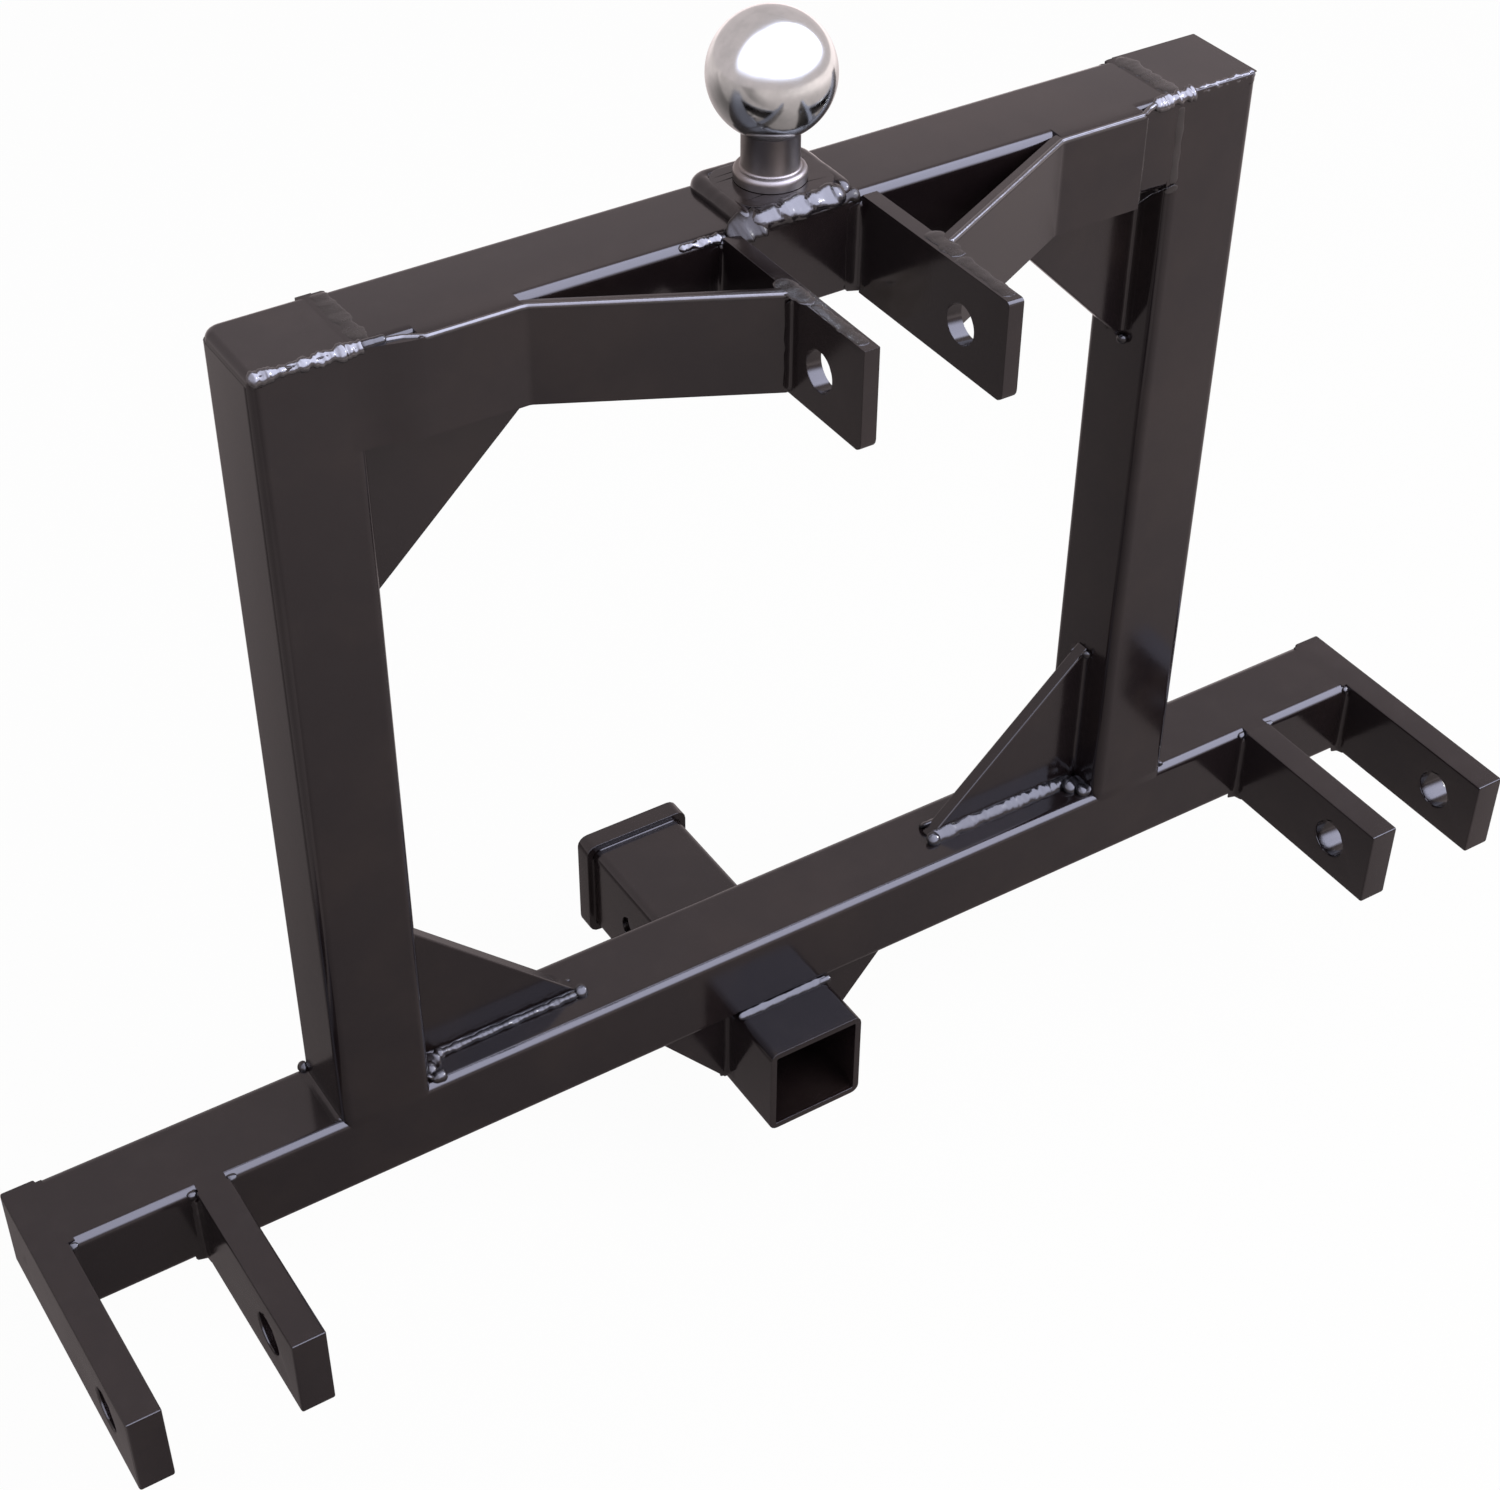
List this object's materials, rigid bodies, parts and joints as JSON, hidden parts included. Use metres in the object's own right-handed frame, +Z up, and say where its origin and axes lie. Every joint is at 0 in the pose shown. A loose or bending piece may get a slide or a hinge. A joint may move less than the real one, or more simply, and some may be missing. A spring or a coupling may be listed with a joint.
{
  "type": "three point hitch",
  "caption": "Welded tractor drawbar frame: clevis pins below and top link lugs above take the linkage, with a square receiver socket and a gooseneck ball.",
  "frame": {"origin": "middle of the common axis of the lower linkage pins, halfway between the two lower clevises", "axes": "+X along the beams to the right as seen from the tractor, -Y towards the tractor, +Z up"},
  "size_m": [0.862, 0.2866, 0.6441],
  "materials": {
    "gloss_black_paint": "thick gloss black paint over welded steel",
    "polished_ball": "polished, bright",
    "plated_steel": "dull zinc plating"
  },
  "bodies": {
    "root": {"lower_beam": "gloss_black_paint", "top_beam": "gloss_black_paint", "post_left": "gloss_black_paint", "post_right": "gloss_black_paint", "post_cap_left": "gloss_black_paint", "post_cap_right": "gloss_black_paint", "clevis_arm_outer_left": "gloss_black_paint", "clevis_arm_outer_right": "gloss_black_paint", "clevis_arm_inner_left": "gloss_black_paint", "clevis_arm_inner_right": "gloss_black_paint", "top_link_lug_left": "gloss_black_paint", "top_link_lug_right": "gloss_black_paint", "brace_left": "gloss_black_paint", "brace_right": "gloss_black_paint", "gusset_lower_left": "gloss_black_paint", "gusset_lower_right": "gloss_black_paint", "gusset_upper_left": "gloss_black_paint", "gusset_upper_right": "gloss_black_paint", "receiver_tube": "gloss_black_paint", "receiver_collar": "gloss_black_paint", "receiver_plate_front_left": "gloss_black_paint", "receiver_plate_front_right": "gloss_black_paint", "receiver_plate_rear_left": "gloss_black_paint", "receiver_plate_rear_right": "gloss_black_paint", "ball_pad": "gloss_black_paint", "hitch_ball": "polished_ball", "lock_washer": "plated_steel", "ball_nut": "plated_steel"}
  },
  "joints": []
}
